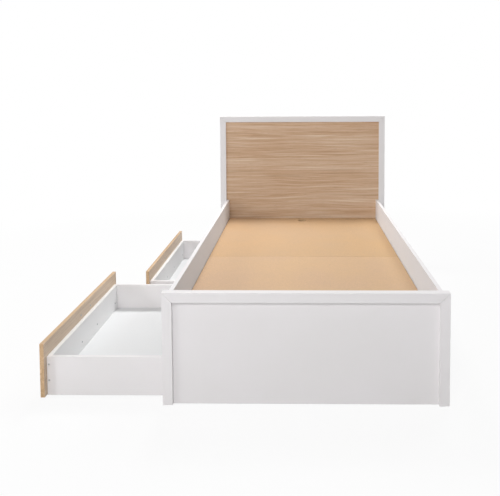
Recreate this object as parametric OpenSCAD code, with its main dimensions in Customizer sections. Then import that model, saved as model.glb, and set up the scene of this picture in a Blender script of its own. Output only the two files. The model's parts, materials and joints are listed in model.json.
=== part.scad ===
// Single storage bed: panelled headboard and footboard, side rails, a loose two-piece base
// and two drawers that roll out on their own castors under the left rail.
// The origin is on the floor in the middle of the frame, +Y runs to the headboard, +Z is up.

/* [Mattress space] */
// Width between the side rails
space_w = 950; // [900:10:1100]
// Length between the headboard frame and the footboard
space_l = 1900; // [1880:10:2050]

/* [Heights] */
// Top of the side rails and of the footboard
rail_top = 412; // [380:2:460]
// Top of the base boards
base_top = 292; // [280:2:310]
// Top of the headboard
headboard_h = 955; // [800:5:1200]
// Thickness of the glides under everything that stands on the floor
glide_h = 3; // [2:0.5:6]

/* [Headboard and footboard] */
// Width of the headboard
headboard_w = 1060; // [1040:5:1200]
// Width of the footboard
footboard_w = 1024; // [1022:2:1080]
// Depth of both frames, front to back
frame_d = 35; // [30:1:40]
// Face width of the headboard frame
head_face = 37; // [30:1:40]
// Face width of the footboard frame
foot_face = 36; // [30:1:40]
// Depth of the panel recess
recess = 14; // [8:1:16]
// Thickness of the panels
panel_t = 16; // [12:1:16]
// Bottom of the headboard panel above the floor
head_panel_z = 160; // [100:5:200]

/* [Side rails and base] */
// Thickness of the side rails
rail_t = 16; // [15:1:20]
// Height of the drawer opening under the left rail
opening_h = 214; // [205:1:220]
// Thickness of the base boards
base_t = 12; // [9:1:15]
// Where the two base boards meet, from the middle of the frame
base_joint = -15; // [-30:1:30]
// Diameter of the finger hole in the head base board
finger_d = 56; // [30:2:60]
// Thickness of the cross battens
batten_t = 18; // [15:1:20]
// Side of the square ledges that carry the battens
ledge_s = 25; // [20:1:30]

/* [Drawers] */
// Height of the drawer fronts
front_h = 200; // [150:5:202]
// Gap between the drawer fronts and the floor
front_lift = 10; // [6:1:15]
// Thickness of the drawer fronts
front_t = 16; // [15:1:18]
// Gap at each end of a drawer front
front_gap = 4; // [2:1:6]
// Distance from the end of a front to its box
box_inset = 25; // [20:1:35]
// Thickness of the box boards
box_t = 16; // [12:1:16]
// Height of the box boards
box_h = 145; // [100:5:160]
// Gap between the box boards and the floor
box_lift = 8; // [6:1:15]
// Depth of the boxes
box_depth = 640; // [500:10:800]
// Underside of the drawer bottoms above the floor
bottom_z = 32; // [30:1:45]
// Thickness of the drawer bottoms
bottom_t = 5; // [3:1:8]
// How far the drawer near the footboard stands open
foot_drawer_out = 477; // [0:1:620]
// How far the drawer near the headboard stands open
head_drawer_out = 309; // [0:1:620]

/* [Castors] */
// Radius of the castor wheels
wheel_r = 14; // [10:1:14]
// Width of the castor wheels
wheel_w = 12; // [8:1:16]
// Radius of the castor axles
axle_r = 2; // [1.5:0.5:3]

/* [Hidden] */

$fn = 48;
eps = 1;                                // how far a cutter passes a face
slack = 0.2;                            // room round a board in its groove
tongue = 6;                             // depth of the grooves

rail_x = space_w/2;                     // inner faces of the side rails
rail_out = rail_x + rail_t;             // outer faces of the side rails
head_y = space_l/2;                     // front of the headboard frame
foot_y = -space_l/2;                    // back of the footboard frame
head_panel_y = head_y + recess;         // front of the headboard panel
foot_panel_y = foot_y - frame_d + recess + panel_t;  // back of the footboard panel

base_z = base_top - base_t;             // underside of the base boards
batten_z = base_z - batten_t;           // underside of the battens
batten_w = 70;
centre_batten_w = 90;
batten_end_y = space_l/2 - 150;         // middle of the end battens
ledge_z = batten_z - ledge_s;           // underside of the ledges
ledge_l = space_l - 140;                // the ledges stop short of the corner brackets
base_gap = 2;                           // room round each base board
finger_y = head_y - 65;                 // middle of the finger hole
divider_t = 16;

bracket_a = 58;                         // leg and height of the corner brackets
bracket_t = 3;
bracket_z = base_z - bracket_a - 2;     // underside of the corner brackets

front_l = space_l/2 - front_gap - front_gap/2;       // length of a drawer front
box_l = front_l - 2*box_inset;          // outside length of a drawer box
front_x = -rail_out + front_t;          // inner face of a closed drawer front
castor_x = 90;                          // castors from the front and back of a box
castor_y = box_l/2 - 100;               // castors from the middle of a box
castor_cheek_t = 2;
castor_play = 0.5;                      // room beside each wheel
run_play = 0.05;                        // room round an axle
fork_w = wheel_w + 2*(castor_play + castor_cheek_t);
fork_l = 30;
fork_drop = 7;                          // how far the cheeks reach below the axle

handle_l = 128;                         // distance between the handle's screws
handle_z = front_lift + front_h - 37;   // height of the handle
handle_out = 28;                        // how far the handle stands off the front
handle_r = 5;                           // radius of the handle's bar
handle_leg_r = 4.5;
handle_end = 8;                         // how far the bar passes its legs

screw_r = 2;
screw_play = 0.1;                       // room round a screw in its hole
screw_head_r = 4;
screw_head_h = 2;
corner_screw_r = 2.5;
corner_screw_l = 40;
corner_head_h = 3;
corner_screw_z = [64, 124];             // heights of the corner screws
front_screw_y = [-390, -103, 103, 390]; // front screws from the middle of a box
front_screw_z = 73;
front_screw_l = box_t + front_t - 4;
ledge_screw_l = ledge_s + rail_t - 5;
ledge_screw_n = 5;
bracket_screw_l = bracket_t + 12;

white = [0.93, 0.93, 0.92];
oak = [0.78, 0.64, 0.48];
raw_board = [0.83, 0.67, 0.49];
batten_wood = [0.85, 0.74, 0.56];
steel = [0.72, 0.72, 0.73];
nickel = [0.6, 0.6, 0.6];
black = [0.12, 0.12, 0.12];

// Shared shapes

// A box from its lowest to its highest corner
module span(low, high) {
    translate(low) cube(high - low);
}

// A flat outline in X and Z, extruded from y0 to y1
module upright(y0, y1) {
    translate([0, y1, 0]) rotate([90, 0, 0]) linear_extrude(y1 - y0) children();
}

// A round bar from p along +X, +Y or +Z; a negative length runs the other way
module bar(p, r, l, dir) {
    turn = dir == "x" ? [0, 90, 0] : dir == "y" ? [-90, 0, 0] : [0, 0, 0];
    translate(p) rotate(turn) translate([0, 0, min(l, 0)]) cylinder(r = r, h = abs(l));
}

// A screw with a flat round head; p is the seat of the head, the shank runs along dir
module screw(p, r, l, head_r, head_h, dir) {
    back = l < 0 ? head_h : -head_h;
    bar(p, r, l, dir);
    bar(p, head_r, back, dir);
}

// A frame stile on the left, mitred at its top
module stile(w, face, top, y0) {
    upright(y0, y0 + frame_d)
        polygon([[-w/2, glide_h], [-w/2, top], [-w/2 + face, top - face], [-w/2 + face, glide_h]]);
}

// A frame's top rail, mitred at both ends
module top_rail(w, face, top, y0) {
    upright(y0, y0 + frame_d)
        polygon([[-w/2, top], [w/2, top], [w/2 - face, top - face], [-w/2 + face, top - face]]);
}

// Headboard

// The panel's space, grown by a slack for the grooves
module head_panel_space(s) {
    half = headboard_w/2 - head_face + tongue;
    span([-half - s, head_panel_y - s, head_panel_z - tongue - s],
         [half + s, head_panel_y + panel_t + s, headboard_h - head_face + tongue + s]);
}

module headboard_left_stile() {
    color(white) difference() {
        stile(headboard_w, head_face, headboard_h, head_y);
        head_panel_space(slack);
    }
}

module headboard_right_stile() {
    mirror([1, 0, 0]) headboard_left_stile();
}

module headboard_top_rail() {
    color(white) difference() {
        top_rail(headboard_w, head_face, headboard_h, head_y);
        head_panel_space(slack);
    }
}

module headboard_bottom_rail() {
    half = headboard_w/2 - head_face;
    color(white) difference() {
        span([-half, head_panel_y, head_panel_z - head_face], [half, head_y + frame_d, head_panel_z]);
        head_panel_space(slack);
    }
}

module headboard_panel() {
    color(oak) difference() {
        head_panel_space(0);
        bracket_screw_holes();
    }
}

// Footboard

module foot_panel_space(s) {
    half = footboard_w/2 - foot_face + tongue;
    span([-half - s, foot_panel_y - panel_t - s, glide_h - s],
         [half + s, foot_panel_y + s, rail_top - foot_face + tongue + s]);
}

module footboard_left_stile() {
    color(white) difference() {
        stile(footboard_w, foot_face, rail_top, foot_y - frame_d);
        foot_panel_space(slack);
    }
}

module footboard_right_stile() {
    mirror([1, 0, 0]) footboard_left_stile();
}

module footboard_top_rail() {
    color(white) difference() {
        top_rail(footboard_w, foot_face, rail_top, foot_y - frame_d);
        foot_panel_space(slack);
    }
}

module footboard_panel() {
    color(white) difference() {
        foot_panel_space(0);
        bracket_screw_holes();
    }
}

// Sides and base

module left_side_rail() {
    color(white) difference() {
        span([-rail_out, foot_y, opening_h], [-rail_x, head_panel_y, rail_top]);
        bracket_screw_holes();
        ledge_screws_left(screw_play);
    }
}

module right_side_panel() {
    color(white) difference() {
        span([rail_x, foot_y, glide_h], [rail_out, head_panel_y, rail_top]);
        bracket_screw_holes();
        mirror([1, 0, 0]) ledge_screws_left(screw_play);
    }
}

module left_ledge() {
    color(batten_wood) difference() {
        span([-rail_x, -ledge_l/2, ledge_z], [-rail_x + ledge_s, ledge_l/2, batten_z]);
        ledge_screws_left(screw_play);
    }
}

module right_ledge() {
    mirror([1, 0, 0]) left_ledge();
}

// The upright board between the drawers, notched round the ledges
module centre_divider() {
    notch = ledge_s + slack;
    color(white) upright(-divider_t/2, divider_t/2)
        polygon([[-rail_x, glide_h], [rail_x, glide_h], [rail_x, ledge_z - slack],
                 [rail_x - notch, ledge_z - slack], [rail_x - notch, batten_z],
                 [notch - rail_x, batten_z], [notch - rail_x, ledge_z - slack],
                 [-rail_x, ledge_z - slack]]);
}

module batten(y, w) {
    half = rail_x - base_gap;
    color(batten_wood) span([-half, y - w/2, batten_z], [half, y + w/2, base_z]);
}

module base_board(y0, y1) {
    half = rail_x - base_gap;
    color(raw_board) span([-half, y0, base_z], [half, y1, base_top]);
}

module base_board_head() {
    difference() {
        base_board(base_joint + base_gap/2, head_panel_y - base_gap);
        bar([0, finger_y, base_z - eps], finger_d/2, base_t + 2*eps, "z");
    }
}

module base_board_foot() {
    base_board(foot_y + base_gap, base_joint - base_gap/2);
}

// Hardware of the frame

// Puts a corner bracket's children in all four corners; the first leg lies along the side
module in_corners() {
    for (x = [0, 1], y = [0, 1])
        mirror([x, 0, 0])
            translate([-rail_x, y == 0 ? foot_panel_y : head_panel_y, bracket_z])
                mirror([0, y, 0]) children();
}

module bracket_screw_set(play) {
    for (z = [0.25, 0.75]) {
        translate([bracket_t, bracket_a*0.7, bracket_a*z])
            screw([0, 0, 0], screw_r + play, -bracket_screw_l - play, screw_head_r, screw_head_h, "x");
        translate([bracket_a*0.7, bracket_t, bracket_a*z])
            screw([0, 0, 0], screw_r + play, -bracket_screw_l - play, screw_head_r, screw_head_h, "y");
    }
}

module bracket_screw_holes() {
    in_corners() bracket_screw_set(screw_play);
}

module corner_brackets() {
    color(steel) difference() {
        in_corners() {
            span([0, 0, 0], [bracket_t, bracket_a, bracket_a]);
            span([0, 0, 0], [bracket_a, bracket_t, bracket_a]);
        }
        bracket_screw_holes();
    }
}

module bracket_screws() {
    color(steel) in_corners() bracket_screw_set(0);
}

module ledge_screws_left(play) {
    pitch = (ledge_l - 100)/(ledge_screw_n - 1);
    for (i = [0:ledge_screw_n - 1])
        screw([-rail_x + ledge_s - screw_head_h, (i - (ledge_screw_n - 1)/2)*pitch,
               ledge_z + ledge_s/2],
              screw_r + play, screw_head_h - ledge_screw_l - play, screw_head_r + play,
              screw_head_h + play, "x");
}

module ledge_screws() {
    color(steel) for (side = [0, 1]) mirror([side, 0, 0]) ledge_screws_left(0);
}

module glides() {
    head_x = (headboard_w - head_face)/2;
    foot_x = (footboard_w - foot_face)/2;
    side_x = rail_x + rail_t/2;
    spots = [for (s = [-1, 1]) [s*head_x, head_y + frame_d/2],
             for (s = [-1, 1]) [s*foot_x, foot_y - frame_d/2],
             for (s = [-1, 1]) [side_x, s*space_l/3],
             for (s = [-1, 0, 1]) [s*space_w/3, 0]];
    color(black) for (p = spots) bar([p[0], p[1], 0], divider_t/2 - 1, glide_h, "z");
}

// Drawers: each module below draws its piece of a closed drawer, whose middle is at y = 0

module drawer_place(far) {
    y = (front_gap + front_l)/2;
    translate([far ? -head_drawer_out : -foot_drawer_out, far ? y : -y, 0]) children();
}

module handle_screw_set(play) {
    for (s = [-1, 1])
        screw([front_x, s*handle_l/2, handle_z], screw_r + play, -front_t - 10 - play,
              screw_head_r, screw_head_h, "x");
}

module front_screw_set(play) {
    for (y = front_screw_y)
        screw([front_x + box_t, y, front_screw_z], screw_r + play, -front_screw_l - play,
              screw_head_r, screw_head_h, "x");
}

module corner_screw_set(play) {
    for (x = [front_x + box_t/2, front_x + box_depth - box_t/2], z = corner_screw_z, s = [0, 1])
        mirror([0, s, 0])
            screw([x, -box_l/2 + corner_head_h, z], corner_screw_r + play,
                  corner_screw_l - corner_head_h + play, screw_head_r + play,
                  corner_head_h + play, "y");
}

// The drawer bottom's space, grown by a slack for the grooves
module bottom_space(s) {
    half = box_l/2 - box_t + tongue;
    span([front_x + box_t - tongue - s, -half - s, bottom_z - s],
         [front_x + box_depth - box_t + tongue + s, half + s, bottom_z + bottom_t + s]);
}

module drawer_front() {
    color(oak) difference() {
        span([-rail_out, -front_l/2, front_lift], [front_x, front_l/2, front_lift + front_h]);
        handle_screw_set(screw_play);
        front_screw_set(screw_play);
    }
}

module box_end(x) {
    color(white) difference() {
        span([x, -box_l/2 + box_t, box_lift], [x + box_t, box_l/2 - box_t, box_lift + box_h]);
        bottom_space(slack);
        front_screw_set(screw_play);
        corner_screw_set(screw_play);
    }
}

module box_side(s) {
    mirror([0, s, 0]) color(white) difference() {
        span([front_x, -box_l/2, box_lift], [front_x + box_depth, -box_l/2 + box_t, box_lift + box_h]);
        bottom_space(slack);
        corner_screw_set(screw_play);
    }
}

module drawer_bottom() {
    color(white) bottom_space(0);
}

module handle() {
    x = -rail_out - handle_out + handle_r;
    color(nickel) difference() {
        union() {
            bar([x, -handle_l/2 - handle_end, handle_z], handle_r, handle_l + 2*handle_end, "y");
            for (s = [-1, 1])
                bar([-rail_out, s*handle_l/2, handle_z], handle_leg_r, handle_r - handle_out, "x");
        }
        handle_screw_set(screw_play);
    }
}

// Puts a castor's children, drawn round its axle's middle, at the four castors or at one
module at_castors(which) {
    x = [front_x + castor_x, front_x + box_depth - castor_x];
    for (i = which)
        translate([x[i % 2], (i < 2 ? -1 : 1)*castor_y, wheel_r]) children();
}

module castor_fork() {
    rise = bottom_z - wheel_r;
    difference() {
        union() {
            span([-fork_l/2, -fork_w/2, rise - castor_cheek_t], [fork_l/2, fork_w/2, rise]);
            for (s = [0, 1])
                mirror([0, s, 0])
                    span([-fork_l/3, -fork_w/2, -fork_drop],
                         [fork_l/3, castor_cheek_t - fork_w/2, rise]);
        }
        bar([0, -fork_w/2 - eps, 0], axle_r + run_play, fork_w + 2*eps, "y");
    }
}

module castor_forks() {
    color(black) at_castors([0:3]) castor_fork();
}

module axles() {
    color(steel) at_castors([0:3]) bar([0, -fork_w/2 - 1, 0], axle_r, fork_w + 2, "y");
}

module wheel(i) {
    color(black) at_castors([i]) difference() {
        bar([0, -wheel_w/2, 0], wheel_r, wheel_w, "y");
        bar([0, -wheel_w/2 - eps, 0], axle_r + run_play, wheel_w + 2*eps, "y");
    }
}

headboard_left_stile();
headboard_right_stile();
headboard_top_rail();
headboard_bottom_rail();
headboard_panel();
footboard_left_stile();
footboard_right_stile();
footboard_top_rail();
footboard_panel();
left_side_rail();
right_side_panel();
left_ledge();
right_ledge();
centre_divider();
batten(-batten_end_y, batten_w);  // batten_1
batten(-batten_end_y/2, batten_w);  // batten_2
batten(0, centre_batten_w);  // batten_3
batten(batten_end_y/2, batten_w);  // batten_4
batten(batten_end_y, batten_w);  // batten_5
base_board_head();
base_board_foot();
corner_brackets();
bracket_screws();
ledge_screws();
glides();
for (d = ["foot", "head"]) drawer_place(d == "head") {
    drawer_front();
    box_end(front_x);
    box_end(front_x + box_depth - box_t);
    box_side(0);
    box_side(1);
    drawer_bottom();
    handle();
    color(steel) handle_screw_set(0);
    color(steel) front_screw_set(0);
    color(steel) corner_screw_set(0);
    castor_forks();
    axles();
    for (i = [0:3])
        wheel(i);
}
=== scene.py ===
import json
import math

import bmesh
import bpy
from mathutils import Matrix, Vector

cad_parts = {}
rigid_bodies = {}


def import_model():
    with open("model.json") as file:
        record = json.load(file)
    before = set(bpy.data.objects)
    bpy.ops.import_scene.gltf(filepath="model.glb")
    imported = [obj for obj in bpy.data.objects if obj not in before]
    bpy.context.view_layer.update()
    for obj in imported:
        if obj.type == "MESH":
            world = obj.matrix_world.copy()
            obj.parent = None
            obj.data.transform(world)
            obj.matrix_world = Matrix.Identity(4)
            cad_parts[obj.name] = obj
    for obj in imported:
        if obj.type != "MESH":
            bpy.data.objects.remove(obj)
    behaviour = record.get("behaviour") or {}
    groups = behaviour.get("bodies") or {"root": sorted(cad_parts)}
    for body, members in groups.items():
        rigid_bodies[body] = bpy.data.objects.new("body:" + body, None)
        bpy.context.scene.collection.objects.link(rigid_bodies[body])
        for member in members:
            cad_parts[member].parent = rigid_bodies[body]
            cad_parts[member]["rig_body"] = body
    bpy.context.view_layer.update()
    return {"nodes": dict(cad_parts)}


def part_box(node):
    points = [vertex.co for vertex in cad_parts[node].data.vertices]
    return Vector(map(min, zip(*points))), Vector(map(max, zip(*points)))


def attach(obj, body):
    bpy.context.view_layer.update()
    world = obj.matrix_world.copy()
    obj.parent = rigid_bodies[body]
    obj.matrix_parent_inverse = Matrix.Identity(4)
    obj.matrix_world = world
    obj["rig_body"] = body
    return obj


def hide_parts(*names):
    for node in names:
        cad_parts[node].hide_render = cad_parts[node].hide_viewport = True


print("loading the frame")
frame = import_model()
nodes = frame["nodes"]
scene = bpy.context.scene
scene.view_settings.view_transform = "Standard"


camera = {
    "place": (-0.0222, -3.2567, 1.1345),
    "yaw": 0.973,  # degrees, to the left
    "pitch": -3.522,
    "roll": -0.205,
    "lens": 47.124,
    "sensor": 36,
    "shift": (-0.0754, -0.2387),
}


def makeCamera():
    yaw, pitch, roll = (math.radians(camera[k]) for k in ("yaw", "pitch", "roll"))
    level = Vector((-math.sin(yaw), math.cos(yaw), 0))
    side = Vector((math.cos(yaw), math.sin(yaw), 0))
    ahead = level * math.cos(pitch) + Vector((0, 0, math.sin(pitch)))
    over = side.cross(ahead)
    right = side * math.cos(roll) + over * math.sin(roll)
    data = bpy.data.cameras.new("camera")
    data.lens = camera["lens"]
    data.sensor_width = camera["sensor"]
    data.shift_x, data.shift_y = camera["shift"]
    made = bpy.data.objects.new("camera", data)
    turn = Matrix((right, right.cross(ahead), -ahead)).transposed()
    made.matrix_world = Matrix.Translation(camera["place"]) @ turn.to_4x4()
    scene.collection.objects.link(made)
    scene.camera = made


# a node with its settings, and its inputs linked or set
def put(tree, kind, wires=(), **settings):
    made = tree.nodes.new(kind)
    for name, value in settings.items():
        setattr(made, name, value)
    for key, value in dict(wires).items():
        if isinstance(value, bpy.types.NodeSocket):
            tree.links.new(value, made.inputs[key])
        else:
            made.inputs[key].default_value = value
    return made


def maths(tree, operation, a, b=0.0):
    return put(tree, "ShaderNodeMath", {0: a, 1: b}, operation=operation).outputs[0]


def vectorMaths(tree, operation, a, b):
    return put(tree, "ShaderNodeVectorMath", {0: a, 1: b}, operation=operation).outputs[0]


def combine(tree, x=0.0, y=0.0, z=0.0):
    return put(tree, "ShaderNodeCombineXYZ", {0: x, 1: y, 2: z}).outputs[0]


def separate(tree, vector):
    return put(tree, "ShaderNodeSeparateXYZ", {0: vector}).outputs


def noise(tree, vector, scale=1.0, detail=2.0, roughness=0.5):
    wires = {"Vector": vector, "Scale": scale, "Detail": detail, "Roughness": roughness}
    return put(tree, "ShaderNodeTexNoise", wires).outputs[0]


def spread(tree, value, low, high, toLow=0.0, toHigh=1.0):
    wires = {"Value": value, "From Min": low, "From Max": high, "To Min": toLow, "To Max": toHigh}
    return put(tree, "ShaderNodeMapRange", wires).outputs[0]


def tint(tree, mask, a, b, blend="MIX"):
    a, b = ((*colour, 1) if isinstance(colour, tuple) else colour for colour in (a, b))
    wires = {0: mask, 6: a, 7: b}
    return put(tree, "ShaderNodeMix", wires, data_type="RGBA", blend_type=blend).outputs[2]


def ramp(tree, value, stops):
    made = put(tree, "ShaderNodeValToRGB", {0: value})
    band = made.color_ramp.elements
    for place, colour in stops[1:-1]:
        band.new(place).color = (*colour, 1)
    for end, (place, colour) in ((0, stops[0]), (len(band) - 1, stops[-1])):
        band[end].position = place
        band[end].color = (*colour, 1)
    return made.outputs[0]


socketKinds = {"f": "NodeSocketFloat", "v": "NodeSocketVector", "i": "NodeSocketInt",
               "m": "NodeSocketMaterial", "g": "NodeSocketGeometry"}


def newTree(name, kind, takes, gives):
    tree = bpy.data.node_groups.new(name, kind)
    for direction, sockets in (("INPUT", takes), ("OUTPUT", gives)):
        for socket, letter in sockets:
            tree.interface.new_socket(socket, in_out=direction, socket_type=socketKinds[letter])
    return tree, put(tree, "NodeGroupInput").outputs, put(tree, "NodeGroupOutput").inputs


figure = {
    "drift": (2.6, 1.1),  # scales across and along the board
    "lens": (8.0, 2.6),
    "lensShare": 0.5,
    "layers": {  # what sets the scale, its part, scale along the board and weight
        "broad": ("Bands", 1.0, 0.5, 0.38),
        "streaks": ("Bands", 2.9, 1.0, 0.32),
        "fine": ("Fibres", 0.72, 2.4, 0.58),
    },
    "fibres": (1.7, 7.0),  # part of the fibres' scale, scale along the board
    "dots": (2.8, 26.0),
    "lines": (0.62, 2.1),
    "darkLines": (0.30, 0.22),  # from where to where a mark fades in
    "darkShare": 0.6,
    "pores": (0.62, 0.74),
    "rays": (0.70, 0.80),
}


# long grain along X: broad bands, streaks and fibres, with dark pores and pale rays
def makeGrain():
    tree, takes, gives = newTree(
        "grain", "ShaderNodeTree",
        [("Vector", "v"), ("Length", "f"), ("Bands", "f"), ("Fibres", "f"), ("Waves", "f")],
        [("Tone", "f"), ("Fibre", "f"), ("Pore", "f"), ("Ray", "f")],
    )
    x, y, z = separate(tree, takes["Vector"])
    along = maths(tree, "DIVIDE", x, takes["Length"])

    def stretched(across, alongScale, lift):
        return combine(tree, maths(tree, "MULTIPLY", along, alongScale),
                       maths(tree, "MULTIPLY", lift, across), maths(tree, "MULTIPLY", z, across))

    drift = maths(tree, "SUBTRACT", noise(tree, stretched(*figure["drift"], y)), 0.5)
    lens = maths(tree, "SUBTRACT", noise(tree, stretched(*figure["lens"], y)), 0.5)
    bend = maths(tree, "ADD", drift, maths(tree, "MULTIPLY", lens, figure["lensShare"]))
    bent = maths(tree, "ADD", y, maths(tree, "MULTIPLY", bend, takes["Waves"]))

    def strands(scale, part, alongScale, detail=2.0, roughness=0.5):
        across = maths(tree, "MULTIPLY", takes[scale], part)
        place = stretched(across, alongScale, bent)
        return noise(tree, place, detail=detail, roughness=roughness)

    tone = 0.5
    for scale, part, alongScale, weight in figure["layers"].values():
        layer = strands(scale, part, alongScale, roughness=0.6)
        layer = maths(tree, "MULTIPLY", maths(tree, "SUBTRACT", layer, 0.5), weight)
        tone = maths(tree, "ADD", tone, layer)
    fibre = strands("Fibres", *figure["fibres"], detail=3.0, roughness=0.7)
    dots = strands("Fibres", *figure["dots"], detail=1.0)
    lines = strands("Fibres", *figure["lines"], detail=0.0)
    dark = spread(tree, lines, *figure["darkLines"])
    dark = maths(tree, "MULTIPLY", dark, figure["darkShare"])
    pore = maths(tree, "MAXIMUM", dark, spread(tree, dots, *figure["pores"]))
    ray = spread(tree, lines, *figure["rays"])
    for name, value in (("Tone", tone), ("Fibre", fibre), ("Pore", pore), ("Ray", ray)):
        tree.links.new(value, gives[name])
    return tree


# soft blotches and fine speckle
def makeMottle():
    tree, takes, gives = newTree(
        "mottle", "ShaderNodeTree",
        [("Vector", "v"), ("Blotch", "f"), ("Speckle", "f")],
        [("Blotch", "f"), ("Speckle", "f")],
    )
    blotch = noise(tree, takes["Vector"], takes["Blotch"], 3.0, 0.55)
    speckle = noise(tree, takes["Vector"], takes["Speckle"], 2.0, 0.7)
    tree.links.new(blotch, gives["Blotch"])
    tree.links.new(speckle, gives["Speckle"])
    return tree


wear = {
    "edge": (0.995, 0.93),  # how far the normal leaves the axes
    "scale": 22.0,
    "rubbed": (0.35, 0.62),
}


# the rounded arrises of boards, where the normal leaves all three axes
def makeArris():
    tree, takes, gives = newTree(
        "arris", "ShaderNodeTree", [("Normal", "v"), ("Vector", "v")], [("Mask", "f")]
    )
    x, y, z = separate(tree, vectorMaths(tree, "ABSOLUTE", takes["Normal"], (0, 0, 0)))
    most = maths(tree, "MAXIMUM", maths(tree, "MAXIMUM", x, y), z)
    edge = spread(tree, most, *wear["edge"])
    rubbed = noise(tree, takes["Vector"], wear["scale"], 3.0, 0.6)
    rubbed = spread(tree, rubbed, *wear["rubbed"])
    tree.links.new(maths(tree, "MULTIPLY", edge, rubbed), gives["Mask"])
    return tree


grain, mottle, arris = makeGrain(), makeMottle(), makeArris()


def startFinish(name, metal=0.0):
    made = bpy.data.materials.new(name)
    made.use_nodes = True
    tree = made.node_tree
    shader = tree.nodes["Principled BSDF"]
    shader.inputs["Metallic"].default_value = metal
    return made, tree, shader, put(tree, "ShaderNodeTexCoord").outputs


def effect(tree, group, **wires):
    return put(tree, "ShaderNodeGroup", wires, node_tree=group).outputs


def wireUp(tree, shader, colour, rough, height, relief):
    strength, distance = relief
    wires = {"Height": height, "Strength": strength, "Distance": distance}
    normal = put(tree, "ShaderNodeBump", wires).outputs[0]
    for name, value in (("Base Color", colour), ("Roughness", rough), ("Normal", normal)):
        tree.links.new(value, shader.inputs[name])


def grainAlongY(tree, place):
    wires = {"Vector": place, "Rotation": (0, 0, math.pi / 2)}
    return put(tree, "ShaderNodeMapping", wires).outputs[0]


whiteFoil = {
    "frame": ((0.862, 0.838, 0.847), (0.848, 0.826, 0.828)),
    "box": ((0.885, 0.888, 0.890), (0.872, 0.874, 0.876)),
    "floor": ((0.818, 0.828, 0.834), (0.806, 0.815, 0.820)),
    "arris": (0.88, 0.87, 0.87),
    "mottle": {"Blotch": 3.2, "Speckle": 640.0},
    "patches": 9.0,  # scale of the duller patches
    "roughness": (0.50, 0.60),
    "relief": (0.12, 0.0003),  # strength and height
}


def whiteFoilFinish(name, tones):
    made, tree, shader, where = startFinish(name)
    place = where["Object"]
    soft = effect(tree, mottle, Vector=place, **whiteFoil["mottle"])
    edge = effect(tree, arris, Normal=where["Normal"], Vector=place)["Mask"]
    colour = tint(tree, spread(tree, soft["Blotch"], 0.35, 0.65), *tones)
    colour = tint(tree, edge, colour, whiteFoil["arris"])
    patches = noise(tree, place, whiteFoil["patches"], 4.0)
    rough = spread(tree, patches, 0.3, 0.7, *whiteFoil["roughness"])
    wireUp(tree, shader, colour, rough, soft["Speckle"], whiteFoil["relief"])
    return made


oakFoil = {
    "headboard": [(0.30, (0.487, 0.291, 0.161)), (0.43, (0.595, 0.380, 0.234)),
                  (0.53, (0.651, 0.446, 0.295)), (0.68, (0.726, 0.536, 0.386))],
    "drawers": [(0.30, (0.54, 0.405, 0.285)), (0.43, (0.62, 0.480, 0.350)),
                (0.53, (0.67, 0.525, 0.390)), (0.68, (0.73, 0.590, 0.450))],
    "ray": (0.80, 0.64, 0.49),
    "rayShare": 0.75,
    "pore": (0.40, 0.25, 0.15),
    "poreShare": 0.40,
    "edging": (0.90, 0.77, 0.60),  # the thin strip round a drawer front is yellower
    "grain": {"Length": 1.0, "Bands": 15.0, "Fibres": 160.0, "Waves": 0.042},
    "fibreTone": 0.17,
    "drawerShift": (3.1, 0.0, 1.7),  # the drawers show another part of the sheet
    "roughness": (0.42, 0.55),
    "relief": (0.15, 0.0002),
}


def oakFoilFinish(name, tones, turned):
    made, tree, shader, where = startFinish(name)
    place = where["Object"]
    if turned:
        place = vectorMaths(tree, "ADD", grainAlongY(tree, place), oakFoil["drawerShift"])
    x, y, z = separate(tree, place)
    upright = combine(tree, x, z, y)  # the bands follow one another up the board
    wood = effect(tree, grain, Vector=upright, **oakFoil["grain"])
    lift = oakFoil["fibreTone"]
    tone = spread(tree, wood["Fibre"], 0.2, 0.8, -lift, lift)
    colour = ramp(tree, maths(tree, "ADD", wood["Tone"], tone), tones)
    pore = maths(tree, "MULTIPLY", wood["Pore"], oakFoil["poreShare"])
    colour = tint(tree, pore, colour, oakFoil["pore"])
    ray = maths(tree, "MULTIPLY", wood["Ray"], oakFoil["rayShare"])
    colour = tint(tree, ray, colour, oakFoil["ray"])
    if turned:
        facing = maths(tree, "ABSOLUTE", separate(tree, where["Normal"])[0])
        yellowed = tint(tree, 1.0, colour, oakFoil["edging"], "MULTIPLY")
        colour = tint(tree, spread(tree, facing, 0.8, 0.3), colour, yellowed)
    rough = spread(tree, wood["Fibre"], 0.2, 0.8, *oakFoil["roughness"])
    height = maths(tree, "SUBTRACT", wood["Fibre"], wood["Pore"])
    wireUp(tree, shader, colour, rough, height, oakFoil["relief"])
    return made


rawBoard = {
    # painted shade: the head board is toned a little darker than the foot board to offset the
    # stronger light at the head; both are one board material
    "head": ((0.638, 0.412, 0.225), (0.603, 0.404, 0.242)),
    "foot": ((0.670, 0.445, 0.256), (0.631, 0.423, 0.269)),
    "right": (0.88, 0.87, 0.81),  # painted shade: the boards are darker and browner to the right, where less light falls
    "paintedShadeSpan": (-0.30, 0.45),  # from where to where the painted shade sets in
    "mottle": {"Blotch": 2.6, "Speckle": 210.0},
    "flecks": (0.86, 1.12),
    "chips": (0.42, 0.26, 0.14),
    "chipScale": 480.0,
    "chipShare": 0.35,
    "bounce": (0.50, 0.47, 0.44),  # paler where the boards only light their neighbours
    "bounceShare": 0.9,
    "roughness": (0.62, 0.78),
    "relief": (0.25, 0.0006),
}


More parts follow.
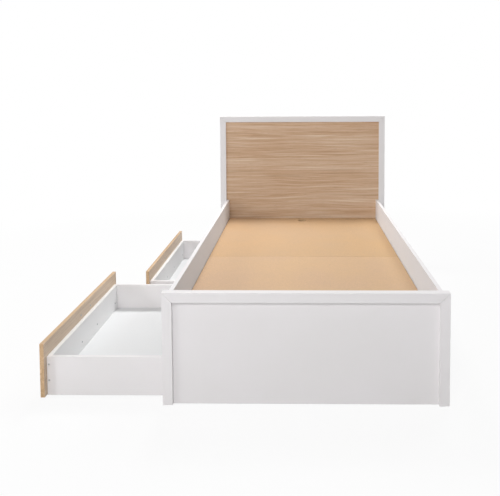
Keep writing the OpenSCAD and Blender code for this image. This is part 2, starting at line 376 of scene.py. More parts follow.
def rawBoardFinish(name, tones):
    made, tree, shader, where = startFinish(name)
    place = where["Object"]
    fibre = effect(tree, mottle, Vector=place, **rawBoard["mottle"])
    colour = tint(tree, spread(tree, fibre["Blotch"], 0.33, 0.67), *tones)
    # painted shade: the tone darkens along X towards the right, where the lamps give less light
    across = spread(tree, separate(tree, place)[0], *rawBoard["paintedShadeSpan"])
    paintedShade = tint(tree, across, (1, 1, 1), rawBoard["right"])
    colour = tint(tree, 1.0, colour, paintedShade, "MULTIPLY")
    flecks = spread(tree, fibre["Speckle"], 0.25, 0.75, *rawBoard["flecks"])
    wires = {0: flecks, 1: flecks, 2: flecks}
    flecks = put(tree, "ShaderNodeCombineColor", wires).outputs[0]
    colour = tint(tree, 1.0, colour, flecks, "MULTIPLY")
    chips = noise(tree, place, rawBoard["chipScale"], 1.0)
    chips = spread(tree, chips, 0.68, 0.74, 0.0, rawBoard["chipShare"])
    colour = tint(tree, chips, colour, rawBoard["chips"])
    bounced = put(tree, "ShaderNodeLightPath").outputs["Is Diffuse Ray"]
    bounced = maths(tree, "MULTIPLY", bounced, rawBoard["bounceShare"])
    colour = tint(tree, bounced, colour, rawBoard["bounce"])
    rough = spread(tree, fibre["Speckle"], 0.3, 0.7, *rawBoard["roughness"])
    wireUp(tree, shader, colour, rough, fibre["Speckle"], rawBoard["relief"])
    return made


pine = {
    "tones": [(0.25, (0.62, 0.40, 0.20)), (0.45, (0.72, 0.52, 0.30)), (0.70, (0.80, 0.63, 0.41))],
    "grain": {"Length": 0.8, "Bands": 46.0, "Fibres": 420.0, "Waves": 0.012},
    "fibreTone": 0.06,
    "resin": (0.45, 0.24, 0.10),
    "knots": (3.0, 9.0, 9.0),  # how many to the metre
    "knotSize": (0.13, 0.05),  # where a knot begins and where it is darkest
    "knotShare": 0.8,
    "roughness": (0.55, 0.7),
    "relief": (0.3, 0.0004),
}


def pineFinish(name, turned):
    made, tree, shader, where = startFinish(name)
    place = grainAlongY(tree, where["Object"]) if turned else where["Object"]
    wood = effect(tree, grain, Vector=place, **pine["grain"])
    lift = pine["fibreTone"]
    tone = spread(tree, wood["Fibre"], 0.2, 0.8, -lift, lift)
    colour = ramp(tree, maths(tree, "ADD", wood["Tone"], tone), pine["tones"])
    wires = {"Vector": vectorMaths(tree, "MULTIPLY", place, pine["knots"]), "Scale": 1.0}
    knot = put(tree, "ShaderNodeTexVoronoi", wires).outputs["Distance"]
    knot = spread(tree, knot, *pine["knotSize"], 0.0, pine["knotShare"])
    colour = tint(tree, knot, colour, pine["resin"])
    rough = spread(tree, wood["Fibre"], 0.2, 0.8, *pine["roughness"])
    wireUp(tree, shader, colour, rough, wood["Fibre"], pine["relief"])
    return made


zincSteel = {
    "tones": ((0.50, 0.51, 0.53), (0.66, 0.66, 0.65)),
    "mottle": {"Blotch": 90.0, "Speckle": 900.0},
    "roughness": (0.30, 0.46),
    "relief": (0.1, 0.0002),
}


def zincFinish():
    made, tree, shader, where = startFinish("zincSteel", 1.0)
    flow = effect(tree, mottle, Vector=where["Object"], **zincSteel["mottle"])
    colour = tint(tree, spread(tree, flow["Blotch"], 0.35, 0.65), *zincSteel["tones"])
    rough = spread(tree, flow["Speckle"], 0.3, 0.7, *zincSteel["roughness"])
    wireUp(tree, shader, colour, rough, flow["Speckle"], zincSteel["relief"])
    return made


brushedNickel = {
    "tones": ((0.50, 0.48, 0.45), (0.60, 0.58, 0.55)),
    "brushing": (1.0, 0.04, 1.0),  # the lines are long in Y
    "scale": 2600.0,
    "roughness": (0.24, 0.40),
    "relief": (0.12, 0.0001),
}


def nickelFinish():
    made, tree, shader, where = startFinish("brushedNickel", 1.0)
    brushed = vectorMaths(tree, "MULTIPLY", where["Object"], brushedNickel["brushing"])
    lines = noise(tree, brushed, brushedNickel["scale"], 3.0, 0.6)
    colour = tint(tree, spread(tree, lines, 0.3, 0.7), *brushedNickel["tones"])
    rough = spread(tree, lines, 0.3, 0.7, *brushedNickel["roughness"])
    wireUp(tree, shader, colour, rough, lines, brushedNickel["relief"])
    return made


plastic = {
    "black": ((0.018, 0.018, 0.019), (0.030, 0.030, 0.031)),
    "grey": ((0.10, 0.10, 0.105), (0.13, 0.13, 0.13)),
    "mottle": {"Blotch": 40.0, "Speckle": 1400.0},
    "roughness": (0.42, 0.58),
    "relief": (0.2, 0.0002),
}


def plasticFinish(name, tones):
    made, tree, shader, where = startFinish(name)
    skin = effect(tree, mottle, Vector=where["Object"], **plastic["mottle"])
    colour = tint(tree, spread(tree, skin["Blotch"], 0.3, 0.7), *tones)
    rough = spread(tree, skin["Blotch"], 0.3, 0.7, *plastic["roughness"])
    wireUp(tree, shader, colour, rough, skin["Speckle"], plastic["relief"])
    return made


print("mixing the finishes")
white = whiteFoilFinish("whiteFoil", whiteFoil["frame"])
whiteBox = whiteFoilFinish("whiteBox", whiteFoil["box"])
whiteFloor = whiteFoilFinish("whiteFloor", whiteFoil["floor"])
oakHeadboard = oakFoilFinish("oakFoilHeadboard", oakFoil["headboard"], False)
oakDrawers = oakFoilFinish("oakFoilDrawers", oakFoil["drawers"], True)
boardHead = rawBoardFinish("rawBoardHead", rawBoard["head"])
boardFoot = rawBoardFinish("rawBoardFoot", rawBoard["foot"])
pineAcross = pineFinish("pineAcross", False)
pineAlong = pineFinish("pineAlong", True)
zinc = zincFinish()
nickel = nickelFinish()
blackPlastic = plasticFinish("blackPlastic", plastic["black"])
greyTread = plasticFinish("greyTread", plastic["grey"])


def camel(name):
    first, *rest = name.split("_")
    return first + "".join(word.capitalize() for word in rest)


def newObject(name, mesh):
    made = bpy.data.objects.new(name, mesh)
    scene.collection.objects.link(made)
    return made


def hand(piece, slot, *stoodFor):
    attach(piece, nodes[stoodFor[0]]["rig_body"])
    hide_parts(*stoodFor)


# swaps an object's live modifiers for the mesh they make
def bake(piece):
    bpy.context.view_layer.update()
    graph = bpy.context.evaluated_depsgraph_get()
    mesh = bpy.data.meshes.new_from_object(piece.evaluated_get(graph), depsgraph=graph)
    piece.modifiers.clear()
    piece.data = mesh
    mesh.name = piece.name
    return piece


def meshFrom(shape, name, *finishes):
    mesh = bpy.data.meshes.new(name)
    shape.to_mesh(mesh)
    shape.free()
    for finish in finishes:
        mesh.materials.append(finish)
    return mesh


smoothUnder = 35  # degrees; sharper corners keep their edge


def smoothed(mesh, under=smoothUnder):
    mesh.shade_smooth()
    mesh.set_sharp_from_angle(angle=math.radians(under))


# a node's shape as one merged bmesh, without the normals that came with it
def solidCopy(node):
    source = nodes[node].data
    plain = bpy.data.meshes.new(node)
    faces = [p.vertices[:] for p in source.polygons]
    plain.from_pydata([v.co for v in source.vertices], [], faces)
    made = bmesh.new()
    made.from_mesh(plain)
    bpy.data.meshes.remove(plain)
    bmesh.ops.remove_doubles(made, verts=made.verts[:], dist=1e-6)
    return made


# the separate solids of a node, each as its list of points
def solidsOf(node):
    copy = solidCopy(node)
    seen, solids = set(), []
    for start in copy.verts:
        if start in seen:
            continue
        seen.add(start)
        queue, points = [start], []
        while queue:
            vert = queue.pop()
            points.append(vert.co.copy())
            for edge in vert.link_edges:
                other = edge.other_vert(vert)
                if other not in seen:
                    seen.add(other)
                    queue.append(other)
        solids.append(points)
    copy.free()
    return solids


def middleOf(points):
    low = Vector([min(p[i] for p in points) for i in range(3)])
    high = Vector([max(p[i] for p in points) for i in range(3)])
    return (low + high) / 2, high - low


boards = {
    "arris": 0.0009,  # rounding of the foil-wrapped arrises
    "rawArris": 0.0006,
    "steelArris": 0.0005,
    "segments": 2,
    "clearance": 0.00002,  # keeps the closed drawers off the divider
    "mitreGap": 0.00015,  # what each half of a mitre joint gives way
    "shortest": 0.010,  # shorter edges belong to holes and stay crisp
    "fingerHole": 0.002,  # but the edge of the finger hole is eased
    "flat": 0.5,  # degrees
    "sharp": 30,
}


def board(node, slot, finish, backFinish=None, arrisWidth=boards["arris"],
          shortest=boards["shortest"], inset=0.0):
    shape = solidCopy(node)
    bmesh.ops.dissolve_limit(shape, angle_limit=math.radians(boards["flat"]),
                             verts=shape.verts[:], edges=shape.edges[:])
    for face in shape.faces:
        slanted = min(abs(face.normal.x), abs(face.normal.z)) > 0.5
        if slanted and face.calc_area() > boards["shortest"] ** 2:
            bmesh.ops.translate(shape, verts=face.verts, vec=face.normal * -boards["mitreGap"])
    weight = shape.edges.layers.float.new("bevel_weight_edge")
    sharp = math.radians(boards["sharp"])
    for edge in shape.edges:
        turned = edge.is_manifold and edge.calc_face_angle(0) > sharp
        if turned and edge.calc_length() > shortest:
            edge[weight] = 1
        elif turned:
            edge.smooth = False
    for face in shape.faces:
        face.smooth = True
        if backFinish and face.normal.y > 0.9:
            face.material_index = 1
    mesh = meshFrom(shape, node, finish)
    if backFinish:
        mesh.materials.append(backFinish)
    piece = newObject(camel(node), mesh)
    eased = piece.modifiers.new("arris", "BEVEL")
    eased.limit_method = "WEIGHT"
    eased.width = arrisWidth
    eased.segments = boards["segments"]
    eased.harden_normals = True
    bake(piece)
    low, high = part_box(node)
    for vertex in piece.data.vertices:  # no corner may stand past the board
        vertex.co = [min(max(c, a + inset), b - inset)
                     for c, a, b in zip(vertex.co, low, high)]
    hand(piece, slot, node)


def makeBoards():
    for node in ("headboard_left_stile", "headboard_right_stile", "headboard_top_rail",
                 "headboard_bottom_rail", "footboard_left_stile", "footboard_right_stile",
                 "footboard_top_rail", "footboard_panel", "left_side_rail", "right_side_panel"):
        board(node, "white_foil", white)
    board("centre_divider", "white_foil", white, inset=boards["clearance"])
    board("headboard_panel", "oak_foil", oakHeadboard, white)
    board("base_board_head", "raw_board", boardHead, arrisWidth=boards["rawArris"],
          shortest=boards["fingerHole"])
    board("base_board_foot", "raw_board", boardFoot, arrisWidth=boards["rawArris"])
    for drawer in ("foot", "head"):
        for part in ("left_side", "right_side"):
            board(f"{drawer}_drawer_{part}", "white_foil", white)
        for part in ("box_front", "box_back"):
            board(f"{drawer}_drawer_{part}", "white_foil", whiteBox)
        board(f"{drawer}_drawer_bottom", "white_foil", whiteFloor)
        board(f"{drawer}_drawer_front", "oak_foil", oakDrawers)


def grown(name, tree, values, mesh=None):
    piece = newObject(name, mesh or bpy.data.meshes.new(name))
    modifier = piece.modifiers.new("make", "NODES")
    modifier.node_group = tree
    ids = {item.name: item.identifier for item in tree.interface.items_tree
           if item.item_type == "SOCKET" and item.in_out == "INPUT"}
    for socket, value in values.items():
        modifier[ids[socket]] = value
    bake(piece)
    smoothed(piece.data)
    return piece


# ends a tree: instances become real, then each finish goes on the faces chosen for it
def treeEnd(tree, geometry, gives, *finishes):
    solid = put(tree, "GeometryNodeRealizeInstances", {0: geometry}).outputs[0]
    for finish, chosen in finishes:
        wires = {"Geometry": solid, "Material": finish}
        if chosen:
            wires["Selection"] = chosen
        solid = put(tree, "GeometryNodeSetMaterial", wires).outputs[0]
    tree.links.new(solid, gives[0])


def moved(tree, geometry, shift=(0, 0, 0), turn=(0, 0, 0)):
    wires = {"Geometry": geometry, "Translation": shift, "Rotation": turn}
    return put(tree, "GeometryNodeTransform", wires).outputs[0]


def joined(tree, *parts):
    made = put(tree, "GeometryNodeJoinGeometry")
    for part in reversed(parts):
        tree.links.new(part, made.inputs[0])
    return made.outputs[0]


cornerSteps = 3


# a rectangle with rounded corners, the section of bars and rings
def roundedOutline(tree, width, height, radius):
    wires = {"Width": width, "Height": height}
    plain = put(tree, "GeometryNodeCurvePrimitiveQuadrilateral", wires).outputs[0]
    wires = {"Curve": plain, "Count": cornerSteps, "Radius": radius}
    return put(tree, "GeometryNodeFilletCurve", wires, mode="POLY").outputs[0]


# a bar of rounded section along X, with its ends closed
def roundedBar(tree, length, depth, height, radius):
    start = combine(tree, maths(tree, "MULTIPLY", length, -0.5))
    end = combine(tree, maths(tree, "MULTIPLY", length, 0.5))
    line = put(tree, "GeometryNodeCurvePrimitiveLine", {"Start": start, "End": end}).outputs[0]
    section = roundedOutline(tree, depth, height, radius)
    wires = {"Curve": line, "Profile Curve": section, "Fill Caps": True}
    return put(tree, "GeometryNodeCurveToMesh", wires).outputs[0]


def cone(tree, sides, top, bottom, depth):
    wires = {"Vertices": sides, "Radius Top": top, "Radius Bottom": bottom, "Depth": depth}
    return put(tree, "GeometryNodeMeshCone", wires).outputs[0]


battens = {
    "Length": 0.946,
    "Width": 0.070,
    "Middle Width": 0.090,
    "Thickness": 0.018,
    "Arris": 0.003,
    "Count": 5,
    "Spacing": 0.400,
    "Height": 0.271,  # middle of the battens over the floor
}


def makeBattens():
    tree, takes, gives = newTree(
        "battenRow", "GeometryNodeTree",
        [("Length", "f"), ("Width", "f"), ("Middle Width", "f"), ("Thickness", "f"),
         ("Arris", "f"), ("Count", "i"), ("Spacing", "f"), ("Height", "f"), ("Finish", "m")],
        [("Geometry", "g")],
    )
    one = roundedBar(tree, takes["Length"], takes["Width"], takes["Thickness"], takes["Arris"])
    gaps = maths(tree, "SUBTRACT", takes["Count"], 1.0)
    half = maths(tree, "MULTIPLY", gaps, 0.5)
    first = maths(tree, "MULTIPLY", maths(tree, "MULTIPLY", gaps, takes["Spacing"]), -0.5)
    wires = {"Count": takes["Count"], "Offset": combine(tree, 0.0, takes["Spacing"]),
             "Start Location": combine(tree, 0.0, first, takes["Height"])}
    line = put(tree, "GeometryNodeMeshLine", wires).outputs[0]
    index = put(tree, "GeometryNodeInputIndex").outputs[0]
    wires = {0: index, 1: half, 2: 0.1}
    middle = put(tree, "ShaderNodeMath", wires, operation="COMPARE").outputs[0]
    wider = maths(tree, "DIVIDE", takes["Middle Width"], takes["Width"])
    wider = maths(tree, "MULTIPLY", middle, maths(tree, "SUBTRACT", wider, 1.0))
    size = combine(tree, 1.0, maths(tree, "ADD", wider, 1.0), 1.0)
    wires = {"Points": line, "Instance": one, "Scale": size}
    row = put(tree, "GeometryNodeInstanceOnPoints", wires).outputs[0]
    treeEnd(tree, row, gives, (takes["Finish"], None))
    piece = grown("battens", tree, {**battens, "Finish": pineAcross})
    hand(piece, "pine", *(f"batten_{i + 1}" for i in range(battens["Count"])))


ledges = {
    "Length": 1.760,
    "Section": 0.025,
    "Arris": 0.002,
    "Inset": 0.4625,  # middle of each ledge from the middle of the bed
    "Height": 0.2495,
}


def makeLedges():
    tree, takes, gives = newTree(
        "ledge", "GeometryNodeTree",
        [("Length", "f"), ("Section", "f"), ("Arris", "f"), ("Inset", "f"), ("Height", "f"),
         ("Finish", "m")],
        [("Geometry", "g")],
    )
    bar = roundedBar(tree, takes["Length"], takes["Section"], takes["Section"], takes["Arris"])
    place = combine(tree, takes["Inset"], 0.0, takes["Height"])
    bar = moved(tree, bar, shift=place, turn=(0, 0, math.pi / 2))
    treeEnd(tree, bar, gives, (takes["Finish"], None))
    for side, sign in (("left", -1), ("right", 1)):
        values = {**ledges, "Inset": sign * ledges["Inset"], "Finish": pineAlong}
        hand(grown(side + "Ledge", tree, values), "pine", side + "_ledge")


screws = {
    "headSides": 28,
    "shankSides": 14,
    "crown": 0.24,  # how much of the head's height is its rounded crown
    "crownRadius": 0.78,  # this and the slot are shares of the head's radius
    "slotLength": 1.15,
    "slotWidth": 0.30,
    "recess": 0.50,  # depth of the cross, a share of the head's height
    "tip": 0.6,  # a share of the shank's radius
    "seed": 7,
}


def makeScrewTree():
    tree, takes, gives = newTree(
        "screwSet", "GeometryNodeTree",
        [("Geometry", "g"), ("Head Radius", "f"), ("Head Height", "f"), ("Shank Radius", "f"),
         ("Shank Length", "f"), ("Seed", "i"), ("Finish", "m")],
        [("Geometry", "g")],
    )
    radius, height = takes["Head Radius"], takes["Head Height"]
    shank, length = takes["Shank Radius"], takes["Shank Length"]

    def lowered(shape, *depths):
        depth = depths[0] if len(depths) == 1 else maths(tree, "ADD", *depths)
        return moved(tree, shape, combine(tree, 0.0, 0.0, maths(tree, "MULTIPLY", depth, -1.0)))

    crown = maths(tree, "MULTIPLY", height, screws["crown"])
    narrow = maths(tree, "MULTIPLY", radius, screws["crownRadius"])
    skirt = maths(tree, "SUBTRACT", height, crown)
    rim = lowered(cone(tree, screws["headSides"], radius, radius, skirt), height)
    dome = lowered(cone(tree, screws["headSides"], narrow, radius, crown), crown)
    size = combine(tree, maths(tree, "MULTIPLY", radius, screws["slotLength"]),
                   maths(tree, "MULTIPLY", radius, screws["slotWidth"]),
                   maths(tree, "MULTIPLY", height, 2 * screws["recess"]))
    slot = put(tree, "GeometryNodeMeshCube", {"Size": size}).outputs[0]
    head = put(tree, "GeometryNodeMeshBoolean", {"Mesh 2": dome},
               operation="UNION", solver="EXACT")
    tree.links.new(rim, head.inputs["Mesh 2"])
    cut = put(tree, "GeometryNodeMeshBoolean", {"Mesh 1": head.outputs[0], "Mesh 2": slot},
              operation="DIFFERENCE", solver="EXACT")
    tree.links.new(moved(tree, slot, turn=(0, 0, math.pi / 2)), cut.inputs["Mesh 2"])
    tip = maths(tree, "MULTIPLY", shank, screws["tip"])
    pin = lowered(cone(tree, screws["shankSides"], shank, tip, length), length, height)
    screw = joined(tree, cut.outputs[0], pin)
    aim = put(tree, "GeometryNodeInputNamedAttribute", {"Name": "aim"}, data_type="FLOAT_VECTOR")
    facing = put(tree, "FunctionNodeAlignRotationToVector", {"Vector": aim.outputs[0]}, axis="Z")
    spin = put(tree, "FunctionNodeRandomValue", {"Seed": takes["Seed"]}, data_type="FLOAT")
    spin.inputs[3].default_value = math.pi
    wires = {"Rotation": facing.outputs[0], "Rotate By": combine(tree, 0.0, 0.0, spin.outputs[1])}
    spun = put(tree, "FunctionNodeRotateRotation", wires, rotation_space="LOCAL").outputs[0]
    wires = {"Points": takes["Geometry"], "Instance": screw, "Rotation": spun}
    made = put(tree, "GeometryNodeInstanceOnPoints", wires).outputs[0]
    treeEnd(tree, made, gives, (takes["Finish"], None))
    return tree


# where each screw of a node sits: the middle of its head, the way it faces, its sizes
def screwSpots(node):
    spots = []
    for points in solidsOf(node):
        middle, size = middleOf(points)
        axis = max(range(3), key=lambda i: size[i])
        across = [i for i in range(3) if i != axis]
        reach = [math.hypot(*(p[i] - middle[i] for i in across)) for p in points]
        headRadius = max(reach)
        head = [p[axis] for p, r in zip(points, reach) if r > 0.9 * headRadius]
        way = 1 if sum(head) / len(head) > middle[axis] else -1
        outer = max(head, key=lambda a: a * way)
        place, aim = middle.copy(), Vector()
        place[axis], aim[axis] = outer, way
        spots.append((place, aim, headRadius, max(head) - min(head), min(reach), size[axis]))
    return spots


def pointMesh(name, spots):
    mesh = bpy.data.meshes.new(name)
    mesh.from_pydata([s[0] for s in spots], [], [])
    mesh.attributes.new("aim", "FLOAT_VECTOR", "POINT")
    for item, spot in zip(mesh.attributes["aim"].data, spots):
        item.vector = spot[1]
    return mesh


def makeScrews():
    tree = makeScrewTree()
    sets = ["bracket_screws", "ledge_screws"]
    sets += [f"{d}_drawer_{k}_screws" for d in ("foot", "head")
             for k in ("handle", "front", "corner")]
    for node in sets:
        spots = screwSpots(node)
        headRadius, headHeight, shankRadius, length = spots[0][2:]
        values = {"Head Radius": headRadius, "Head Height": headHeight,
                  "Shank Radius": shankRadius, "Shank Length": length - headHeight,
                  "Seed": screws["seed"], "Finish": zinc}
        hand(grown(camel(node), tree, values, pointMesh(node, spots)), "zinc_steel", node)


glides = {"Sides": 32, "Radius": 0.007, "Rim": 0.0008, "Height": 0.003}


def makeGlides():
    tree, takes, gives = newTree(
        "glideSet", "GeometryNodeTree",
        [("Geometry", "g"), ("Sides", "i"), ("Radius", "f"), ("Rim", "f"), ("Height", "f"),
         ("Finish", "m")],
        [("Geometry", "g")],
    )
    small = maths(tree, "SUBTRACT", takes["Radius"], takes["Rim"])
    foot = cone(tree, takes["Sides"], takes["Radius"], small, takes["Height"])
    wires = {"Points": takes["Geometry"], "Instance": foot}
    made = put(tree, "GeometryNodeInstanceOnPoints", wires).outputs[0]
    treeEnd(tree, made, gives, (takes["Finish"], None))
    places = []
    for points in solidsOf("glides"):
        middle, size = middleOf(points)
        places.append((middle - Vector((0, 0, size.z / 2)), Vector((0, 0, 1))))
    values = {**glides, "Finish": blackPlastic}
    piece = grown("floorGlides", tree, values, pointMesh("glides", places))
    hand(piece, "black_plastic", "glides")


wheels = {
    "Tread": 0.0035,  # thickness of the soft tread
    "Rounding": 0.0012,
    "Hub": 0.0045,  # radius of the boss round the axle
    "Hub Width": 0.92,  # these widths are shares of the wheel's
    "Web Width": 0.3,
    "Rib Width": 0.72,
    "Ribs": 6,
    "Rib": 0.0012,  # thickness of each rib
}

wheelRings = {
    "treadSides": 56,
    "hubSides": 28,
    "webSides": 40,
    "hubRounding": 0.2,  # a share of the boss's wall
    "webRounding": 0.0001,
    "overlap": 0.001,  # the web is this much wider than the gap it fills
    "treadEdge": 0.0002,  # the tread's finish begins this far outside its inner face
}


def ringOf(tree, radius, width, thickness, rounding, sides):
    section = roundedOutline(tree, thickness, width, rounding)
    wires = {"Resolution": sides, "Radius": radius}
    circle = put(tree, "GeometryNodeCurvePrimitiveCircle", wires).outputs[0]
    wires = {"Curve": circle, "Profile Curve": section}
    return put(tree, "GeometryNodeCurveToMesh", wires).outputs[0]


def makeWheelTree():
    tree, takes, gives = newTree(
        "castorWheel", "GeometryNodeTree",
        [("Radius", "f"), ("Width", "f"), ("Axle", "f"), ("Tread", "f"), ("Rounding", "f"),
         ("Hub", "f"), ("Hub Width", "f"), ("Web Width", "f"), ("Rib Width", "f"), ("Ribs", "i"),
         ("Rib", "f"), ("Place", "v"), ("Body Finish", "m"), ("Tread Finish", "m")],
        [("Geometry", "g")],
    )
    radius, width, tread, hub = (takes[k] for k in ("Radius", "Width", "Tread", "Hub"))

    def between(a, b):
        return maths(tree, "MULTIPLY", maths(tree, "ADD", a, b), 0.5)

    def ofWidth(share):
        return maths(tree, "MULTIPLY", width, takes[share])

    inner = maths(tree, "SUBTRACT", radius, tread)
    outerRing = ringOf(tree, between(radius, inner), width, tread, takes["Rounding"],
                       wheelRings["treadSides"])
    bossWall = maths(tree, "SUBTRACT", hub, takes["Axle"])
    bossRounding = maths(tree, "MULTIPLY", bossWall, wheelRings["hubRounding"])
    boss = ringOf(tree, between(hub, takes["Axle"]), ofWidth("Hub Width"), bossWall,
                  bossRounding, wheelRings["hubSides"])
    webWall = maths(tree, "ADD", maths(tree, "SUBTRACT", inner, hub), wheelRings["overlap"])
    webMiddle = between(inner, hub)
    web = ringOf(tree, webMiddle, ofWidth("Web Width"), webWall, wheelRings["webRounding"],
                 wheelRings["webSides"])
    ribSize = combine(tree, webWall, takes["Rib"], ofWidth("Rib Width"))
    rib = put(tree, "GeometryNodeMeshCube", {"Size": ribSize}).outputs[0]
    rib = moved(tree, rib, combine(tree, webMiddle))
    wires = {"Count": takes["Ribs"], "Offset": (0, 0, 0)}
    spots = put(tree, "GeometryNodeMeshLine", wires).outputs[0]
    step = maths(tree, "DIVIDE", 2 * math.pi, takes["Ribs"])
    turn = maths(tree, "MULTIPLY", put(tree, "GeometryNodeInputIndex").outputs[0], step)
    wires = {"Points": spots, "Instance": rib, "Rotation": combine(tree, 0.0, 0.0, turn)}
    ribs = put(tree, "GeometryNodeInstanceOnPoints", wires).outputs[0]
    wheel = joined(tree, outerRing, boss, web, ribs)
    wheel = moved(tree, wheel, takes["Place"], (math.pi / 2, 0, 0))
    here = put(tree, "GeometryNodeInputPosition").outputs[0]
    offset = vectorMaths(tree, "SUBTRACT", here, takes["Place"])
    offset = vectorMaths(tree, "MULTIPLY", offset, (1, 0, 1))
    far = put(tree, "ShaderNodeVectorMath", {0: offset}, operation="LENGTH").outputs[1]
    wires = {0: far, 1: maths(tree, "ADD", inner, wheelRings["treadEdge"])}
    isTread = put(tree, "FunctionNodeCompare", wires, operation="GREATER_THAN").outputs[0]
    treeEnd(tree, wheel, gives, (takes["Body Finish"], None), (takes["Tread Finish"], isTread))
    return tree


def makeWheels():
    tree = makeWheelTree()
    finishes = {"Body Finish": blackPlastic, "Tread Finish": greyTread}
    for node in [f"{d}_drawer_wheel_{i}" for d in ("foot", "head") for i in range(1, 5)]:
        low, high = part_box(node)
        place, size = (low + high) / 2, high - low
        bore = min(math.hypot(v.co.x - place.x, v.co.z - place.z)
                   for v in nodes[node].data.vertices)
        values = {**wheels, **finishes, "Radius": size.z / 2, "Width": size.y, "Axle": bore,
                  "Place": place}
        hand(grown(camel(node), tree, values), "black_plastic", node)


forks = {
    "cheek": 0.002,  # thickness of the plates
    "shoulder": 1 / 3,  # these two are shares of half the fork's length
    "nose": 0.42,
    "noseSteps": 12,
    "rounding": 0.0005,
    "smoothUnder": 30,
    "easedOver": 40,
}


# a flat outline in X and Z, given a thickness along Y
def plateFrom(shape, outline, y0, y1):
    sides = [[shape.verts.new((x, y, z)) for x, z in outline] for y in (y0, y1)]
    shape.faces.new(sides[0])
    shape.faces.new(list(reversed(sides[1])))
    count = len(outline)
    for i in range(count):
        j = (i + 1) % count
        shape.faces.new((sides[0][j], sides[0][i], sides[1][i], sides[1][j]))


def arc(x, z, radius, start, end, steps):
    turns = [math.radians(start + (end - start) * i / steps) for i in range(steps + 1)]
    return [(x + radius * math.cos(a), z + radius * math.sin(a)) for a in turns]


def makeForks():
    cheek = forks["cheek"]
    for drawer in ("foot", "head"):
        node = f"{drawer}_drawer_castor_forks"
        shape = bmesh.new()
        for points in solidsOf(node):
            middle, size = middleOf(points)
            x, y, top = middle.x, middle.y, middle.z + size.z / 2
            low, halfX, halfY = middle.z - size.z / 2, size.x / 2, size.y / 2
            plate = [(x - halfX, top - cheek), (x + halfX, top - cheek), (x + halfX, top),
                     (x - halfX, top)]
            plateFrom(shape, plate, y - halfY, y + halfY)
            reach = halfX - halfX * forks["shoulder"]
            nose = halfX * forks["nose"]
            side = [(x - reach, top - cheek * 0.5)]
            side += arc(x, low + nose, nose, 180, 360, forks["noseSteps"])
            side += [(x + reach, top - cheek * 0.5)]
            for face in (y - halfY, y + halfY - cheek):
                plateFrom(shape, side, face, face + cheek)
        bmesh.ops.recalc_face_normals(shape, faces=shape.faces[:])
        mesh = meshFrom(shape, node, blackPlastic)
        smoothed(mesh, forks["smoothUnder"])
        piece = newObject(camel(node), mesh)
        rounding = piece.modifiers.new("rounding", "BEVEL")
        rounding.width = forks["rounding"]
        rounding.segments = 2
        rounding.limit_method = "ANGLE"
        rounding.angle_limit = math.radians(forks["easedOver"])
        rounding.harden_normals = True
        hand(bake(piece), "black_plastic", node)


# turns a profile of (radius, distance) pairs about a line from start along way
def turned(shape, profile, start, way, sides):
    way = Vector(way).normalized()
    side = way.orthogonal().normalized()
    over = way.cross(side)
    angles = [2 * math.pi * i / sides for i in range(sides)]
    spokes = [side * math.cos(a) + over * math.sin(a) for a in angles]
    rings = []
    for radius, along in profile:
        centre = Vector(start) + way * along
        around = [centre + spoke * radius for spoke in spokes] if radius else [centre]
        rings.append([shape.verts.new(point) for point in around])
    for low, high in zip(rings, rings[1:]):
        for i in range(sides):
            j = (i + 1) % sides
            quad = ((low, i), (low, j), (high, j), (high, i))
            corners = [ring[k % len(ring)] for ring, k in quad]
            shape.faces.new(list(dict.fromkeys(corners)))


def closedBar(radius, length, chamfer):
    bevel = chamfer * 0.3
    return [(0, 0), (radius - chamfer, 0), (radius - bevel, bevel), (radius, chamfer),
            (radius, length - chamfer), (radius - bevel, length - bevel),
            (radius - chamfer, length), (0, length)]


def turnedPiece(node, slot, finish, shape):
    bmesh.ops.recalc_face_normals(shape, faces=shape.faces[:])
    mesh = meshFrom(shape, node, finish)
    smoothed(mesh)
    hand(newObject(camel(node), mesh), slot, node)


axles = {"chamfer": 0.0005, "sides": 20}


def makeAxles():
    for drawer in ("foot", "head"):
        node = f"{drawer}_drawer_axles"
        shape = bmesh.new()
        for points in solidsOf(node):
            middle, size = middleOf(points)
            start = middle - Vector((0, size.y / 2, 0))
            profile = closedBar(size.x / 2, size.y, axles["chamfer"])
            turned(shape, profile, start, (0, 1, 0), axles["sides"])
        turnedPiece(node, "zinc_steel", zinc, shape)


handle = {
    "barRadius": 0.005,
    "barSides": 32,
    "chamfer": 0.0009,
    "legRadius": 0.0042,
    "legSides": 28,
    "legSpacing": 0.128,
    "collar": 0.0049,  # radius of the foot of each leg
    "collarHeight": 0.0022,
    "collarEdge": 0.0003,
}


def makeHandles():
    bar, leg, collar = handle["barRadius"], handle["legRadius"], handle["collar"]
    rise, edge = handle["collarHeight"], handle["collarEdge"]
    for drawer in ("foot", "head"):
        node = f"{drawer}_drawer_handle"
        low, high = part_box(node)
        middle = (low + high) / 2
        shape = bmesh.new()
        start = Vector((low.x + bar, low.y, middle.z))
        profile = closedBar(bar, high.y - low.y, handle["chamfer"])
        turned(shape, profile, start, (0, 1, 0), handle["barSides"])
        reach = high.x - start.x
        profile = [(0, 0), (collar - edge, 0), (collar, edge), (collar, rise * 0.55),
                   (collar - edge * 2, rise * 0.8), (leg + 0.0002, rise), (leg, rise + 0.0004),
                   (leg, reach), (0, reach)]
        for sign in (-1, 1):
            foot = (high.x, middle.y + sign * handle["legSpacing"] / 2, middle.z)
            turned(shape, profile, foot, (-1, 0, 0), handle["legSides"])
        turnedPiece(node, "brushed_nickel", nickel, shape)


def makeBrackets():
    board("corner_brackets", "zinc_steel", zinc, arrisWidth=boards["steelArris"])


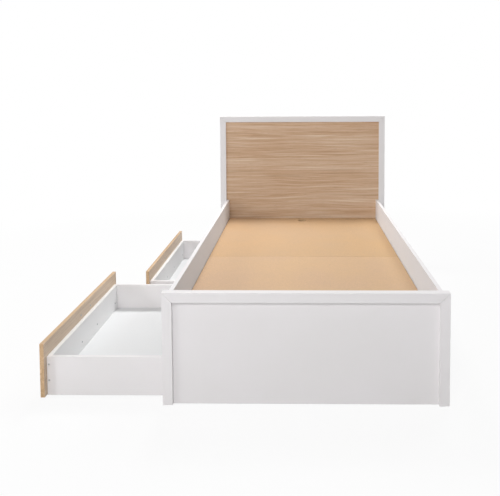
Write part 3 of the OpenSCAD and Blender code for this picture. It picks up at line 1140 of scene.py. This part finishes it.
studio = {
    "ambient": 0.10,
    "floorGrey": 0.86,
    "floorRadius": 40,
    "floorShadow": 0.10,  # share of the floor that shows the object's shadow
    "shadowFades": (1.5, 3.2),  # from where to where, in metres from the middle
    "lamps": {  # place, what it points at, size and watts
        "highFront": ((-0.8, -4.6, 3.6), (-0.2, 0.0, 0.3), 2.0, 82.0),
        "lowFront": ((-0.5, -9.0, 3.4), (-0.2, 0.0, 0.4), 4.8, 115.0),
        "leftFront": ((-3.9, -3.1, 1.9), (-0.3, -0.3, 0.3), 1.2, 40.0),
        "left": ((-4.2, 0.6, 2.2), (-0.2, 0.0, 0.3), 2.0, 36.0),
        "behind": ((1.6, 2.0, 4.2), (-0.2, 0.0, 0.3), 2.0, 78.0),
        "overDrawer": ((-0.52, 1.2, 2.7), (-0.6, 0.4, 0.1), 0.7, 35.0),
        "lowRight": ((4.6, -0.3, 0.42), (0.4, 0.0, 0.3), 0.7, 14.0),
        "lowBack": ((0.6, 4.8, 0.5), (0.0, 0.9, 0.5), 0.8, 12.0),
    },
}


def seenDirectly(tree):
    path = put(tree, "ShaderNodeLightPath").outputs
    seen = maths(tree, "MAXIMUM", path["Is Camera Ray"], path["Is Glossy Ray"])
    return maths(tree, "MAXIMUM", seen, path["Is Transmission Ray"])


def makeFloor():
    shape = bmesh.new()
    bmesh.ops.create_circle(shape, cap_ends=True, segments=64, radius=studio["floorRadius"])
    made = bpy.data.materials.new("paleFloor")
    made.use_nodes = True
    tree = made.node_tree
    tree.nodes.clear()
    grey = (studio["floorGrey"],) * 3
    plain = put(tree, "ShaderNodeBsdfDiffuse", {"Color": (*grey, 1)}).outputs[0]
    glow = put(tree, "ShaderNodeEmission", {"Color": (1, 1, 1, 1)}).outputs[0]
    where = put(tree, "ShaderNodeTexCoord").outputs["Object"]
    out = put(tree, "ShaderNodeVectorMath", {0: where}, operation="LENGTH").outputs[1]
    share = spread(tree, out, *studio["shadowFades"], 1 - studio["floorShadow"], 1.0)
    share = maths(tree, "MULTIPLY", share, seenDirectly(tree))
    mixed = put(tree, "ShaderNodeMixShader", {0: share, 1: plain, 2: glow}).outputs[0]
    put(tree, "ShaderNodeOutputMaterial", {"Surface": mixed})
    newObject("floor", meshFrom(shape, "floor", made))


def makeWorld():
    world = bpy.data.worlds.new("studio")
    scene.world = world
    world.use_nodes = True
    tree = world.node_tree
    tree.nodes.clear()
    level = spread(tree, seenDirectly(tree), 0.0, 1.0, studio["ambient"], 1.0)
    sky = put(tree, "ShaderNodeBackground", {"Color": (1, 1, 1, 1), "Strength": level}).outputs[0]
    put(tree, "ShaderNodeOutputWorld", {"Surface": sky})


def makeLights():
    for name, (place, target, size, power) in studio["lamps"].items():
        lamp = bpy.data.lights.new(name, "AREA")
        lamp.shape = "DISK"
        lamp.size = size
        lamp.energy = power
        made = bpy.data.objects.new(name, lamp)
        made.location = place
        made.rotation_mode = "QUATERNION"
        made.rotation_quaternion = (Vector(target) - Vector(place)).to_track_quat("-Z", "Y")
        made.visible_camera = False
        scene.collection.objects.link(made)


print("making the boards")
makeBoards()
print("making the battens and ledges")
makeBattens()
makeLedges()
print("making the screws and glides")
makeScrews()
makeGlides()
print("making the castors")
makeWheels()
makeForks()
makeAxles()
print("making the handles and brackets")
makeHandles()
makeBrackets()
print("setting the floor, lights and camera")
makeFloor()
makeWorld()
makeLights()
makeCamera()
